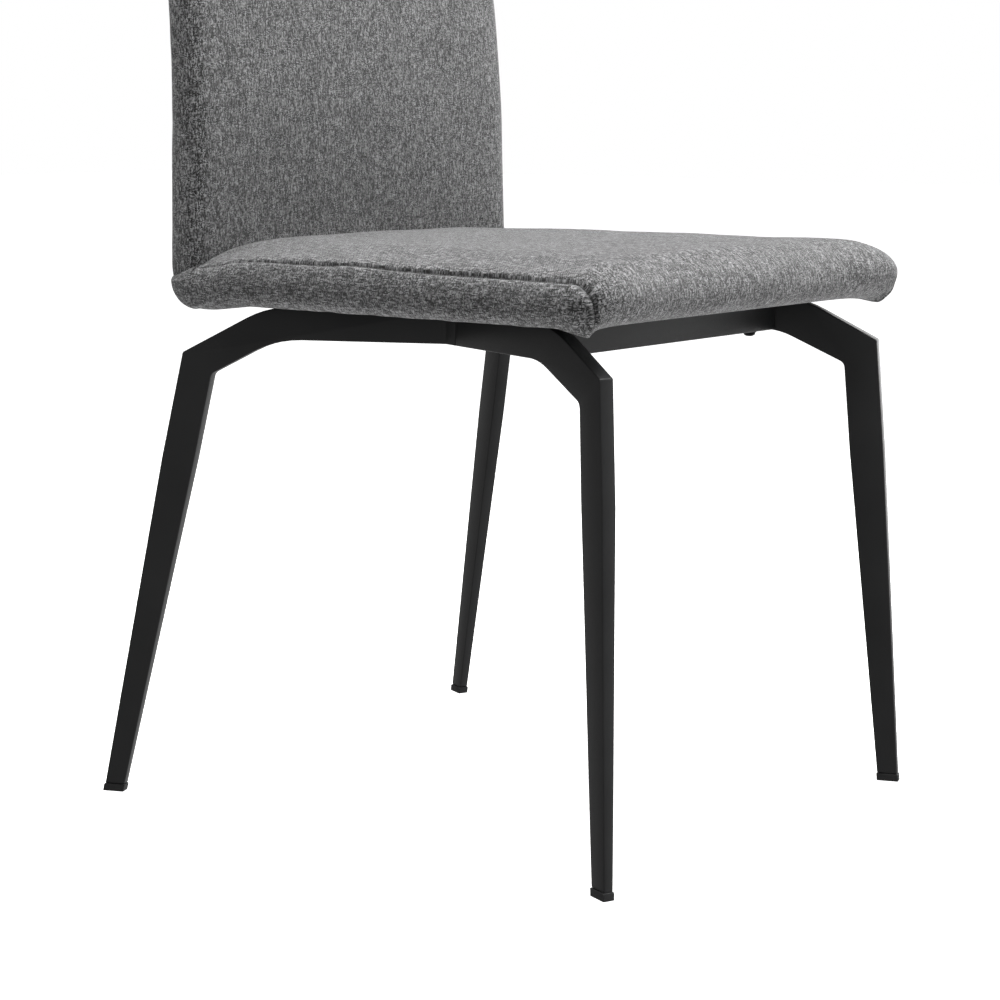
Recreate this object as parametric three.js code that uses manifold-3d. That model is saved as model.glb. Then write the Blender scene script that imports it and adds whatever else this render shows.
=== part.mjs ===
// A dining chair: an upholstered seat and curved back, bolted to a frame of four formed steel legs.
// Millimetres, +Z up. The sitter faces -Y, "left" is -X, and the origin is on the floor under the
// middle of the four feet.
import * as THREE from "three";
import { mergeVertices } from "three/addons/utils/BufferGeometryUtils.js";
import Module from "manifold-3d";

const wasm = await Module();
wasm.setup();

// ---------------------------------------------------------------- driving dimensions

const GAP = 0.3; // clearance between pieces that touch
const SIDES = { left: -1, right: 1 };

// Frame. Each leg is one tapered rectangular tube, bent at the knee into a rising arm and again
// into a level side bar. Distances "along" run inwards from the knee, in the leg's own plan line.
const TUBE_WALL = 1.5;
const TUBE_THICKNESS = 12.9;
const FOOT_THICKNESS = 8.6;
const LEG_WIDTH = 30;
const FOOT_WIDTH = 18;
const TAPER_TOP = 300; // the leg narrows below this height
const LEAN_TOP = 360; // the leg leans sideways below this height
const BAR_BOTTOM = 406;
const BAR_TOP = 434;
const ARM_SLOPE = 0.52; // rise of the arm's upper edge for each millimetre along
const KNEE_RADII = { upper: 2, lower: 7 };
const BAR_RADIUS_UPPER = 90;
const BEND_STEPS = 5;
const FRONT = {
  knee: [200.8, -248.7],
  kneeZ: 399.2,
  angle: 20.6,
  footAlong: -16.9,
  footOut: 11.8,
  armDepth: 34.5, // upright depth of the sloping arm under the knee
  barRadiusLower: 60,
  undersideSlope: 0.47,
};
const REAR = {
  knee: [211.9, 190],
  kneeZ: 393.5,
  angle: -23.6,
  footAlong: -75.9,
  footOut: -2.2,
  armDepth: 31.5,
  barRadiusLower: 95,
  undersideSlope: 0.52,
};
const APEX_RADIUS = 14; // plan bend where the two side bars turn into each other
const JOINT_FORWARD = 14; // the butt joint lies this far in front of the bend
const RAIL_DEPTH = 20;
const FRONT_RAIL_Y = -157;
const REAR_RAIL_Y = 100;

// Foot caps.
const CAP_HEIGHT = 6.5;
const CAP_LIP = 0.7;
const CAP_PLUG = 14;

// Seat bolts, with their washers and tee nuts.
const FRONT_BOLT_X = 136.5;
const REAR_BOLT_X = 98;
const BOLT_RADIUS = 3;
const HEAD_RADIUS = 5.1;
const HEAD_HEIGHT = 3.2;
const SOCKET_RADIUS = 2;
const WASHER = { inner: 3.3, outer: 6, height: 1.1 };
const TEE_FLANGE = { radius: 9.5, height: 1.5 };
const TEE_BARREL_RADIUS = 4.2;

// Seat.
const COVER = 2.5; // fabric with its backing
const SEAT_BOTTOM = 432;
const SEAT_TOP = 486;
const SEAT_FRONT = -258;
const SEAT_REAR = 207;
const SEAM_DROP = 14; // the side seam lies this far under the crown of the seat
const FRONT_BULGE = 10; // the front swells this far past its side seams
const CROWN_POWER = 7;
const HALF_WIDTH_FRONT = 216.6; // at WIDTH_FRONT_Y
const HALF_WIDTH_REAR = 212; // at WIDTH_REAR_Y
const WIDTH_FRONT_Y = -225;
const WIDTH_REAR_Y = 205;
const BULLNOSE_REACH = 25; // from the front to where the top and bottom run level
const REAR_CORNER_RADIUS = 26;
const SEAT_BOARD = { bottom: 436.5, top: 448.5, front: -216, rear: 190, inset: 8 };
const DUST_COVER = { bottom: 434.4, top: 435, front: -203, rear: 178, inset: 16 };

// Back. Its thickness is measured forwards from its rear face.
const BACK_BOTTOM = 466;
const BACK_TOP = 870;
const BACK_THICK_BOTTOM = 32;
const BACK_THICK_TOP = 26;
const BACK_HALF_TOP = 203;
const BACK_EDGE_RADIUS = 9;
const BACK_TOP_RADIUS = 12;
const CURVE_START = 589; // upright below this height, an arc above it
const CURVE_RADIUS = 1055;
const CURVE_END = 772; // straight again above this height
const REAR_PAD = [2.6, 6.5];
const BACK_BOARD = [6.8, 16.8];
const FRONT_PAD_FROM = 17.1;

// Brackets that tie the back board to the seat board.
const BRACKET = { x: 80, width: 40, thick: 3, reach: 64, rise: 112, bend: 5 };
const SCREW = { radius: 2, length: 8.5, headRadius: 4, headHeight: 2 };

// ---------------------------------------------------------------- finishes

const finishes = {
  powderCoat: new THREE.MeshStandardMaterial({ color: 0x1b1b1c, roughness: 0.55, metalness: 0.4 }),
  capPlastic: new THREE.MeshStandardMaterial({ color: 0x121213, roughness: 0.6, metalness: 0 }),
  zincSteel: new THREE.MeshStandardMaterial({ color: 0x9a9c9e, roughness: 0.4, metalness: 1 }),
  blackSteel: new THREE.MeshStandardMaterial({ color: 0x202021, roughness: 0.45, metalness: 0.8 }),
  plywood: new THREE.MeshStandardMaterial({ color: 0xb99668, roughness: 0.8, metalness: 0 }),
  foam: new THREE.MeshStandardMaterial({ color: 0xe6dfc9, roughness: 0.95, metalness: 0 }),
  fabric: new THREE.MeshStandardMaterial({ color: 0x6f6f70, roughness: 0.95, metalness: 0 }),
  lining: new THREE.MeshStandardMaterial({ color: 0x161616, roughness: 0.95, metalness: 0 }),
};

const chair = new THREE.Group();

function addPart(name, geometry, finish) {
  const mesh = new THREE.Mesh(geometry, finishes[finish]);
  mesh.name = name;
  chair.add(mesh);
  return mesh;
}

// ---------------------------------------------------------------- solids

// A copy whose triangles share their corner points.
function welded(geometry) {
  const bare = geometry.clone();
  bare.deleteAttribute("normal");
  bare.deleteAttribute("uv");
  return mergeVertices(bare, 1e-4);
}

function solidOf(geometry) {
  const merged = welded(geometry);
  const vertProperties = merged.attributes.position.array;
  const triVerts = new Uint32Array(merged.index.array);
  return new wasm.Manifold(new wasm.Mesh({ numProp: 3, vertProperties, triVerts }));
}

function geometryOf(solid) {
  const mesh = solid.getMesh();
  const geometry = new THREE.BufferGeometry();
  geometry.setAttribute("position", new THREE.BufferAttribute(mesh.vertProperties, 3));
  geometry.setIndex(new THREE.BufferAttribute(mesh.triVerts, 1));
  geometry.computeVertexNormals();
  return geometry;
}

function cut(geometry, ...tools) {
  return geometryOf(tools.reduce((solid, tool) => solid.subtract(solidOf(tool)), solidOf(geometry)));
}

function overlapOf(a, b) {
  return geometryOf(solidOf(a).intersect(solidOf(b)));
}

function join(...geometries) {
  return geometryOf(geometries.map(solidOf).reduce((all, solid) => all.add(solid)));
}

function turnedInsideOut(geometry) {
  const index = geometry.index.array;
  for (let i = 0; i < index.length; i += 3) {
    [index[i + 1], index[i + 2]] = [index[i + 2], index[i + 1]];
  }
  return geometry;
}

// Six times the volume inside a closed surface, negative where its faces point inwards.
function signedVolume(geometry) {
  const corners = [0, 1, 2].map(() => new THREE.Vector3());
  const { index, attributes } = geometry;
  let sum = 0;
  for (let i = 0; i < index.count; i += 3) {
    corners.forEach((corner, j) => corner.fromBufferAttribute(attributes.position, index.getX(i + j)));
    sum += corners[0].dot(corners[1].cross(corners[2]));
  }
  return sum;
}

// A closed surface through sections that each hold the same number of points. capFaces are the
// triangles that close an end.
function loft(sections, capFaces) {
  const count = sections[0].length;
  const last = (sections.length - 1) * count;
  const index = [];
  for (let i = 0; i < sections.length - 1; i++) {
    for (let j = 0; j < count; j++) {
      const a = i * count + j;
      const b = i * count + ((j + 1) % count);
      index.push(a, b, b + count, a, b + count, a + count);
    }
  }
  for (const [a, b, c] of capFaces) {
    index.push(a, c, b);
    index.push(last + a, last + b, last + c);
  }
  const geometry = new THREE.BufferGeometry().setFromPoints(sections.flat());
  geometry.setIndex(index);
  return signedVolume(geometry) < 0 ? turnedInsideOut(geometry) : geometry;
}

const QUAD = [[0, 1, 2], [0, 2, 3]];

function outlineFaces(outline) {
  return THREE.ShapeUtils.triangulateShape(outline, []);
}

function mirrorX(geometry) {
  return turnedInsideOut(welded(geometry).scale(-1, 1, 1));
}

function addPair(stem, geometry, finish) {
  addPart(`${stem}_left`, mirrorX(geometry), finish);
  addPart(`${stem}_right`, geometry, finish);
}

function boxAt(x0, x1, y0, y1, z0, z1) {
  return new THREE.BoxGeometry(x1 - x0, y1 - y0, z1 - z0)
    .translate((x0 + x1) / 2, (y0 + y1) / 2, (z0 + z1) / 2);
}

// A prism of a plan outline, standing between two heights.
function slab(outline, bottom, top) {
  const depth = top - bottom;
  const shape = new THREE.Shape(outline);
  return new THREE.ExtrudeGeometry(shape, { depth, bevelEnabled: false }).translate(0, 0, bottom);
}

function upright(radius, bottom, top, sides = 24) {
  const height = top - bottom;
  return new THREE.CylinderGeometry(radius, radius, height, sides)
    .rotateX(Math.PI / 2)
    .translate(0, 0, (top + bottom) / 2);
}

function ring(inner, outer, bottom, top) {
  return cut(upright(outer, bottom, top), upright(inner, bottom - 1, top + 1));
}

const lerp = THREE.MathUtils.lerp;
const clamp = THREE.MathUtils.clamp;
const point = (x, y) => new THREE.Vector2(x, y);

// ---------------------------------------------------------------- frame

// Points of a polyline whose inner corners are replaced by arcs of BEND_STEPS steps.
function roundCorners(corners, radii) {
  const points = [corners[0]];
  for (let i = 1; i < corners.length - 1; i++) {
    const corner = corners[i];
    const back = corners[i - 1].clone().sub(corner).normalize();
    const ahead = corners[i + 1].clone().sub(corner).normalize();
    const half = Math.acos(clamp(back.dot(ahead), -1, 1)) / 2;
    const radius = radii[i - 1];
    const middle = back.clone().add(ahead).normalize();
    const centre = corner.clone().addScaledVector(middle, radius / Math.sin(half));
    const from = corner.clone().addScaledVector(back, radius / Math.tan(half)).sub(centre);
    const to = corner.clone().addScaledVector(ahead, radius / Math.tan(half)).sub(centre);
    const turn = Math.atan2(from.cross(to), from.dot(to));
    for (let step = 0; step <= BEND_STEPS; step++) {
      points.push(from.clone().rotateAround(point(0, 0), (turn * step) / BEND_STEPS).add(centre));
    }
  }
  points.push(corners[corners.length - 1]);
  return points;
}

// The plan line of a right-hand leg: a point and its sideways direction for a distance along it.
function planLine(leg) {
  const turn = THREE.MathUtils.degToRad(leg.angle);
  const inwards = point(-Math.abs(Math.sin(turn)), Math.sign(leg.angle) * Math.cos(turn));
  const out = point(Math.cos(turn), Math.sin(turn));
  const knee = point(...leg.knee);
  return { inwards, out, at: (along) => knee.clone().addScaledVector(inwards, along) };
}

// Where the plan lines of the front and rear legs cross, as a distance along each.
function apexAlong() {
  const front = planLine(FRONT);
  const rear = planLine(REAR);
  const apart = rear.at(0).sub(front.at(0));
  const across = front.inwards.cross(rear.inwards);
  return { front: apart.cross(rear.inwards) / across, rear: apart.cross(front.inwards) / across };
}

function thicknessAt(z) {
  return lerp(FOOT_THICKNESS, TUBE_THICKNESS, clamp(z / TAPER_TOP, 0, 1));
}

// The upper and lower edges of a leg, its arm and its bar, as matched points (along, z).
function edgeChains(leg, barEnd, footZ) {
  const middleAt = (z) => lerp(leg.footAlong, LEG_WIDTH / 2, z / leg.kneeZ);
  const widthAt = (z) => lerp(FOOT_WIDTH, LEG_WIDTH, clamp(z / TAPER_TOP, 0, 1));
  const lowerStart = leg.kneeZ - leg.armDepth;
  const slope = leg.undersideSlope;
  const innerAt = (z) => middleAt(z) + LEG_WIDTH / 2;
  const legRun = middleAt(1) - middleAt(0);
  const bendZ = (lowerStart + slope * innerAt(0)) / (1 - slope * legRun);
  const upper = [
    point(middleAt(footZ) - widthAt(footZ) / 2, footZ),
    point(middleAt(TAPER_TOP) - LEG_WIDTH / 2, TAPER_TOP),
    point(0, leg.kneeZ),
    point((BAR_TOP - leg.kneeZ) / ARM_SLOPE, BAR_TOP),
    point(barEnd, BAR_TOP),
  ];
  const lower = [
    point(middleAt(footZ) + widthAt(footZ) / 2, footZ),
    point(middleAt(TAPER_TOP) + LEG_WIDTH / 2, TAPER_TOP),
    point(innerAt(bendZ), bendZ),
    point((BAR_BOTTOM - lowerStart) / slope, BAR_BOTTOM),
    point(barEnd, BAR_BOTTOM),
  ];
  const round = (chain, knee, bar) => [chain[0], ...roundCorners(chain.slice(1), [knee, bar])];
  return {
    upper: round(upper, KNEE_RADII.upper, BAR_RADIUS_UPPER),
    lower: round(lower, KNEE_RADII.lower, leg.barRadiusLower),
  };
}

// One section of the tube, between its upper and lower edge points, shrunk by a wall.
function tubeSection(upper, lower, place, out, wall) {
  const inset = wall / upper.distanceTo(lower);
  const ends = [upper.clone().lerp(lower, inset), lower.clone().lerp(upper, inset)];
  const half = thicknessAt((upper.y + lower.y) / 2) / 2 - wall;
  return [[0, 1], [0, -1], [1, -1], [1, 1]].map(([end, side]) => {
    const { x: along, y: z } = ends[end];
    const base = place(along, z).addScaledVector(out, side * half);
    return new THREE.Vector3(base.x, base.y, z);
  });
}

// The sections of a leg, from the foot to the end of its straight bar.
function legSections(leg, barEnd, footZ, wall) {
  const line = planLine(leg);
  const chains = edgeChains(leg, barEnd, footZ);
  const place = (along, z) => {
    const lean = leg.footOut * clamp(1 - z / LEAN_TOP, 0, 1);
    return line.at(along).addScaledVector(line.out, lean);
  };
  return chains.upper.map((upper, i) => tubeSection(upper, chains.lower[i], place, line.out, wall));
}

// The rear bar turns the plan bend and runs a little way along the front leg's line.
function bendSections(wall, endExtra) {
  const front = planLine(FRONT);
  const rear = planLine(REAR);
  const apex = apexAlong();
  const turn = Math.acos(clamp(-front.inwards.dot(rear.inwards), -1, 1));
  const tangent = APEX_RADIUS * Math.tan(turn / 2);
  const centre = rear.at(apex.rear - tangent).addScaledVector(rear.out, APEX_RADIUS);
  const sections = [];
  for (let step = 1; step <= BEND_STEPS; step++) {
    const out = rear.out.clone().rotateAround(point(0, 0), (turn * step) / BEND_STEPS);
    const place = () => centre.clone().addScaledVector(out, -APEX_RADIUS);
    sections.push(tubeSection(point(0, BAR_TOP), point(0, BAR_BOTTOM), place, out, wall));
  }
  const end = front.at(apex.front - tangent - JOINT_FORWARD - endExtra);
  const atEnd = () => end.clone();
  sections.push(tubeSection(point(0, BAR_TOP), point(0, BAR_BOTTOM), atEnd, front.out, wall));
  return sections;
}

function makeLegs() {
  const apex = apexAlong();
  const turn = THREE.MathUtils.degToRad(FRONT.angle - REAR.angle);
  const tangent = APEX_RADIUS * Math.tan(turn / 2);
  const footZ = CAP_HEIGHT + GAP;
  const frontEnd = apex.front - tangent - JOINT_FORWARD - GAP;
  const frontTube = (wall, extra) =>
    loft(legSections(FRONT, frontEnd + extra, footZ - extra, wall), QUAD);
  const rearTube = (wall, extra) => {
    const straight = legSections(REAR, apex.rear - tangent, footZ - extra, wall);
    return loft([...straight, ...bendSections(wall, extra)], QUAD);
  };
  const frontLeg = cut(frontTube(0, 0), frontTube(TUBE_WALL, 1));
  const rearLeg = cut(rearTube(0, 0), rearTube(TUBE_WALL, 1));
  addPair("leg_front", frontLeg, "powderCoat");
  addPair("leg_rear", rearLeg, "powderCoat");
}

// A rail between the two side bars, with its ends cut to their slant and a hole for each bolt.
function railBetweenBars(leg, y, boltX) {
  const line = planLine(leg);
  const slope = line.inwards.x / line.inwards.y;
  const clear = (TUBE_THICKNESS / 2 + GAP) / line.out.x;
  const endAt = (at) => leg.knee[0] + slope * (at - leg.knee[1]) - clear;
  const [near, far] = [y - RAIL_DEPTH / 2, y + RAIL_DEPTH / 2];
  const outline = [
    point(-endAt(near), near),
    point(endAt(near), near),
    point(endAt(far), far),
    point(-endAt(far), far),
  ];
  const reach = HALF_WIDTH_FRONT;
  const hollow = boxAt(
    -reach, reach, near + TUBE_WALL, far - TUBE_WALL, BAR_BOTTOM + TUBE_WALL, BAR_TOP - TUBE_WALL,
  );
  const holes = [-boltX, boltX].map((x) =>
    upright(BOLT_RADIUS + GAP, BAR_BOTTOM - 1, BAR_TOP + 1).translate(x, y, 0));
  return cut(slab(outline, BAR_BOTTOM, BAR_TOP), hollow, ...holes);
}

// A plastic cap that closes the foot of a leg. Its plug stands up inside the tube.
function footCap(leg) {
  const block = (spare, bottom, top) => {
    const line = planLine(leg);
    const level = (z) => {
      const middle = lerp(leg.footAlong, LEG_WIDTH / 2, z / leg.kneeZ);
      const lean = leg.footOut * (1 - z / LEAN_TOP);
      const centre = line.at(middle).addScaledVector(line.out, lean);
      const halfWidth = lerp(FOOT_WIDTH, LEG_WIDTH, z / TAPER_TOP) / 2 + spare;
      const halfThick = thicknessAt(Math.max(z, 0)) / 2 + spare;
      return [[1, 1], [1, -1], [-1, -1], [-1, 1]].map(([a, b]) => {
        const corner = centre.clone().addScaledVector(line.inwards, a * halfWidth);
        corner.addScaledVector(line.out, b * halfThick);
        return new THREE.Vector3(corner.x, corner.y, z);
      });
    };
    return loft([level(bottom), level(top)], QUAD);
  };
  const plug = block(-TUBE_WALL - GAP, CAP_HEIGHT - 1, CAP_HEIGHT + CAP_PLUG);
  return join(block(CAP_LIP, 0, CAP_HEIGHT), plug);
}

function makeFrame() {
  makeLegs();
  addPart("front_rail", railBetweenBars(FRONT, FRONT_RAIL_Y, FRONT_BOLT_X), "powderCoat");
  addPart("rear_rail", railBetweenBars(REAR, REAR_RAIL_Y, REAR_BOLT_X), "powderCoat");
  addPair("foot_cap_front", footCap(FRONT), "capPlastic");
  addPair("foot_cap_rear", footCap(REAR), "capPlastic");
}

// ---------------------------------------------------------------- bolts

const BOLT_PLACES = {
  front_left: [-FRONT_BOLT_X, FRONT_RAIL_Y],
  front_right: [FRONT_BOLT_X, FRONT_RAIL_Y],
  rear_left: [-REAR_BOLT_X, REAR_RAIL_Y],
  rear_right: [REAR_BOLT_X, REAR_RAIL_Y],
};
const WASHER_TOP = BAR_BOTTOM - GAP;
const HEAD_TOP = WASHER_TOP - WASHER.height - GAP;
const TEE_FLANGE_BOTTOM = SEAT_BOARD.top + GAP;
const TEE_FLANGE_TOP = TEE_FLANGE_BOTTOM + TEE_FLANGE.height;

// A button-head bolt that points up, with a hexagon socket in its head.
function seatBolt() {
  const dome = new THREE.EllipseCurve(0, HEAD_TOP - 0.8, HEAD_RADIUS, HEAD_HEIGHT - 0.8, -Math.PI / 2, 0);
  const profile = [
    ...dome.getPoints(5),
    point(HEAD_RADIUS, HEAD_TOP),
    point(BOLT_RADIUS, HEAD_TOP),
    point(BOLT_RADIUS, TEE_FLANGE_TOP - 1),
    point(BOLT_RADIUS - 0.7, TEE_FLANGE_TOP),
    point(0, TEE_FLANGE_TOP),
  ];
  profile[0].x = 0;
  const body = new THREE.LatheGeometry(profile, 24).rotateX(Math.PI / 2);
  const socketTop = HEAD_TOP - HEAD_HEIGHT + 2.2;
  return cut(body, upright(SOCKET_RADIUS, HEAD_TOP - HEAD_HEIGHT - 1, socketTop, 6));
}

function boltWasher() {
  return ring(WASHER.inner, WASHER.outer, WASHER_TOP - WASHER.height, WASHER_TOP);
}

// A tee nut pressed into the seat board from above.
function teeNut() {
  const flange = upright(TEE_FLANGE.radius, TEE_FLANGE_BOTTOM, TEE_FLANGE_TOP);
  const barrel = upright(TEE_BARREL_RADIUS, SEAT_BOARD.bottom + 2, TEE_FLANGE_BOTTOM + 0.5);
  const bore = upright(BOLT_RADIUS + GAP, SEAT_BOARD.bottom, TEE_FLANGE_TOP + 1);
  return cut(join(flange, barrel), bore);
}

function makeBolts() {
  for (const [place, [x, y]] of Object.entries(BOLT_PLACES)) {
    addPart(`seat_bolt_${place}`, seatBolt(), "blackSteel").position.set(x, y, 0);
    addPart(`bolt_washer_${place}`, boltWasher(), "blackSteel").position.set(x, y, 0);
    addPart(`tee_nut_${place}`, teeNut(), "zincSteel").position.set(x, y, 0);
  }
}

// ---------------------------------------------------------------- shapes of the upholstery

function seatHalfWidth(y) {
  const share = (y - WIDTH_FRONT_Y) / (WIDTH_REAR_Y - WIDTH_FRONT_Y);
  return lerp(HALF_WIDTH_FRONT, HALF_WIDTH_REAR, share);
}

function planOutline(front, rear, inset) {
  const corners = [[-1, front], [1, front], [1, rear], [-1, rear]];
  return corners.map(([side, y]) => point(side * (seatHalfWidth(y) - inset), y));
}

function backHalfWidth(z) {
  return lerp(HALF_WIDTH_REAR, BACK_HALF_TOP, clamp((z - BACK_BOTTOM) / (BACK_TOP - BACK_BOTTOM), 0, 1));
}

function backThickness(z) {
  return lerp(BACK_THICK_BOTTOM, BACK_THICK_TOP, (z - BACK_BOTTOM) / (BACK_TOP - BACK_BOTTOM));
}

// The back's middle surface: upright, then an arc, then straight.
function backMiddle(z) {
  const bottomMiddle = SEAT_REAR - BACK_THICK_BOTTOM / 2;
  const rise = Math.max(Math.min(z, CURVE_END) - CURVE_START, 0);
  const arc = CURVE_RADIUS - Math.sqrt(CURVE_RADIUS ** 2 - rise ** 2);
  const straight = Math.max(z - CURVE_END, 0) * (rise / Math.sqrt(CURVE_RADIUS ** 2 - rise ** 2));
  return bottomMiddle + arc + straight;
}

const backRear = (z) => backMiddle(z) + backThickness(z) / 2;
const backFront = (z) => backMiddle(z) - backThickness(z) / 2;

function heights(bottom, top, steps) {
  return Array.from({ length: steps + 1 }, (_, i) => lerp(bottom, top, i / steps));
}

// ---------------------------------------------------------------- seat

// How far the seat's surface stands proud of its side seams, at a share of its half width.
const crown = (share) => 1 - Math.abs(share) ** CROWN_POWER;

// The seat's top, bullnose front and underside edge at one share of its half width, as (y, z).
function seatNose(share, inset, rear, underEnd) {
  const top = SEAT_TOP - SEAM_DROP + SEAM_DROP * crown(share) - inset;
  const front = SEAT_FRONT + FRONT_BULGE - FRONT_BULGE * crown(share) + inset;
  const bottom = SEAT_BOTTOM + inset;
  const nose = new THREE.EllipseCurve(
    SEAT_FRONT + FRONT_BULGE + BULLNOSE_REACH, (top + bottom) / 2,
    SEAT_FRONT + FRONT_BULGE + BULLNOSE_REACH - front, (top - bottom) / 2, Math.PI / 2, 1.5 * Math.PI,
  );
  const tuck = SEAT_BOARD.bottom - GAP - COVER - SEAT_BOTTOM; // the fabric turns in under the board
  return [point(rear, top), ...nose.getPoints(10), point(underEnd, bottom + tuck)];
}

const SEAT_SHARES = [-1, -0.93, -0.82, -0.65, -0.4, 0, 0.4, 0.65, 0.82, 0.93, 1];

// A solid across the seat, whose (y, z) outline is given for each share of the half width.
function acrossSeat(outlineAt, sideInset) {
  const sections = SEAT_SHARES.map((share) =>
    outlineAt(share).map(({ x: y, y: z }) =>
      new THREE.Vector3(share * (seatHalfWidth(y) - sideInset), y, z)));
  return loft(sections, outlineFaces(outlineAt(0)));
}

function seatCover() {
  const rear = backFront(BACK_BOTTOM) - GAP;
  const underEnd = SEAT_FRONT + 52;
  const outline = (share) => [
    ...seatNose(share, 0, rear, underEnd),
    ...seatNose(share, COVER, rear, underEnd).reverse(),
  ];
  return acrossSeat(outline, COVER + GAP);
}

function seatFoam() {
  const rear = backFront(BACK_BOTTOM) - GAP - COVER;
  const front = SEAT_BOARD.front - 2 * GAP;
  const outline = (share) => {
    const nose = seatNose(share, COVER + 2 * GAP, rear, front);
    nose.pop();
    return [
      ...nose,
      point(front, SEAT_BOARD.bottom),
      point(front, SEAT_BOARD.top + 2 * GAP),
      point(rear, SEAT_BOARD.top + 2 * GAP),
    ];
  };
  const pockets = Object.values(BOLT_PLACES).map(([x, y]) =>
    upright(TEE_FLANGE.radius + 1, SEAT_BOARD.top - 1, TEE_FLANGE_TOP + 1).translate(x, y, 0));
  return cut(acrossSeat(outline, 2 * COVER), ...pockets);
}

// The upright panel that closes one side of the seat, with its rounded front and rear corners.
function seatSidePanel() {
  const seam = SEAT_TOP - SEAM_DROP;
  const shape = new THREE.Shape();
  const front = SEAT_FRONT + FRONT_BULGE;
  shape.moveTo(front + BULLNOSE_REACH, SEAT_BOTTOM);
  shape.lineTo(SEAT_REAR - REAR_CORNER_RADIUS, SEAT_BOTTOM);
  shape.absarc(
    SEAT_REAR - REAR_CORNER_RADIUS, SEAT_BOTTOM + REAR_CORNER_RADIUS, REAR_CORNER_RADIUS,
    -Math.PI / 2, 0, false,
  );
  shape.lineTo(SEAT_REAR, BACK_BOTTOM - 8);
  shape.quadraticCurveTo(SEAT_REAR - 45, BACK_BOTTOM - 2, SEAT_REAR - 108, seam);
  shape.lineTo(front + BULLNOSE_REACH, seam);
  shape.absellipse(
    front + BULLNOSE_REACH, (seam + SEAT_BOTTOM) / 2, BULLNOSE_REACH, (seam - SEAT_BOTTOM) / 2,
    Math.PI / 2, 1.5 * Math.PI, false,
  );
  const slant = Math.atan((HALF_WIDTH_FRONT - HALF_WIDTH_REAR) / (WIDTH_REAR_Y - WIDTH_FRONT_Y));
  return new THREE.ExtrudeGeometry(shape, { depth: COVER, bevelEnabled: false, curveSegments: 8 })
    .applyMatrix4(new THREE.Matrix4().makeBasis(
      new THREE.Vector3(0, 1, 0), new THREE.Vector3(0, 0, 1), new THREE.Vector3(1, 0, 0),
    ))
    .translate(-COVER, -WIDTH_REAR_Y, 0)
    .rotateZ(slant)
    .translate(HALF_WIDTH_REAR, WIDTH_REAR_Y, 0);
}

function seatBoard() {
  const holes = Object.values(BOLT_PLACES).map(([x, y]) =>
    upright(TEE_BARREL_RADIUS + GAP, SEAT_BOARD.bottom - 1, SEAT_BOARD.top + 1).translate(x, y, 0));
  const { bottom, top, front, rear, inset } = SEAT_BOARD;
  return cut(slab(planOutline(front, rear, inset), bottom, top), ...holes);
}

// The thin lining under the board, cut out round the bolts.
function dustCover() {
  const { bottom, top, front, rear, inset } = DUST_COVER;
  const holes = Object.values(BOLT_PLACES).map(([x, y]) =>
    upright(BOLT_RADIUS + 1, bottom - 1, top + 1).translate(x, y, 0));
  return cut(slab(planOutline(front, rear, inset), bottom, top), ...holes);
}

function makeSeat() {
  addPart("seat_board", cut(seatBoard(), ...screwPilots()), "plywood");
  addPart("seat_foam", cut(seatFoam(), ...bracketSlots()), "foam");
  addPart("seat_cover", seatCover(), "fabric");
  addPair("seat_side_panel", seatSidePanel(), "fabric");
  addPart("dust_cover", dustCover(), "lining");
}

// ---------------------------------------------------------------- back

// A layer of the back between two depths measured forwards from its rear face.
function backLayer(from, to, bottom, top, sideInset) {
  const sections = heights(bottom, top, 10).map((z) => {
    const half = backHalfWidth(z) - sideInset;
    const rear = backRear(z);
    const front = rear - to;
    return [[-half, front], [half, front], [half, rear - from], [-half, rear - from]].map(
      ([x, y]) => new THREE.Vector3(x, y, z));
  });
  return loft(sections, QUAD);
}

// A rounded rectangle in plan, with three steps to each corner.
function roundedPlan(half, front, rear, radius) {
  const corners = [
    [half - radius, rear - radius, 0], [-half + radius, rear - radius, 1],
    [-half + radius, front + radius, 2], [half - radius, front + radius, 3],
  ];
  return corners.flatMap(([x, y, quarter]) => heights(0, 1, 3).map((step) => {
    const angle = ((quarter + step) * Math.PI) / 2;
    return point(x + radius * Math.cos(angle), y + radius * Math.sin(angle));
  }));
}

// The whole back as one rounded solid, shrunk by an inset, with its top edges rounded over.
function backBody(inset, bottom) {
  const radius = BACK_TOP_RADIUS - inset;
  const top = BACK_TOP - inset;
  const rows = heights(bottom, top - radius, 10).map((z) => [z, 0]);
  for (const turn of [30, 60, 80]) {
    const angle = THREE.MathUtils.degToRad(turn);
    rows.push([top - radius + radius * Math.sin(angle), radius * (1 - Math.cos(angle))]);
  }
  const sections = rows.map(([z, shrink]) => {
    const edge = Math.max(BACK_EDGE_RADIUS - inset - shrink, 0.8);
    return roundedPlan(
      backHalfWidth(z) - inset - shrink, backFront(z) + inset + shrink,
      backRear(z) - inset - shrink, edge,
    ).map(({ x, y }) => new THREE.Vector3(x, y, z));
  });
  return loft(sections, outlineFaces(sections[0].map(({ x, y }) => point(x, y))));
}

// The front fabric, which wraps over the top and both edges of the back.
function backFrontCover() {
  const rearOpening = backLayer(-5, COVER + GAP, BACK_BOTTOM - 1, BACK_TOP - 5, 4);
  return cut(backBody(0, BACK_BOTTOM), backBody(COVER, BACK_BOTTOM - 1), rearOpening);
}

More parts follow.
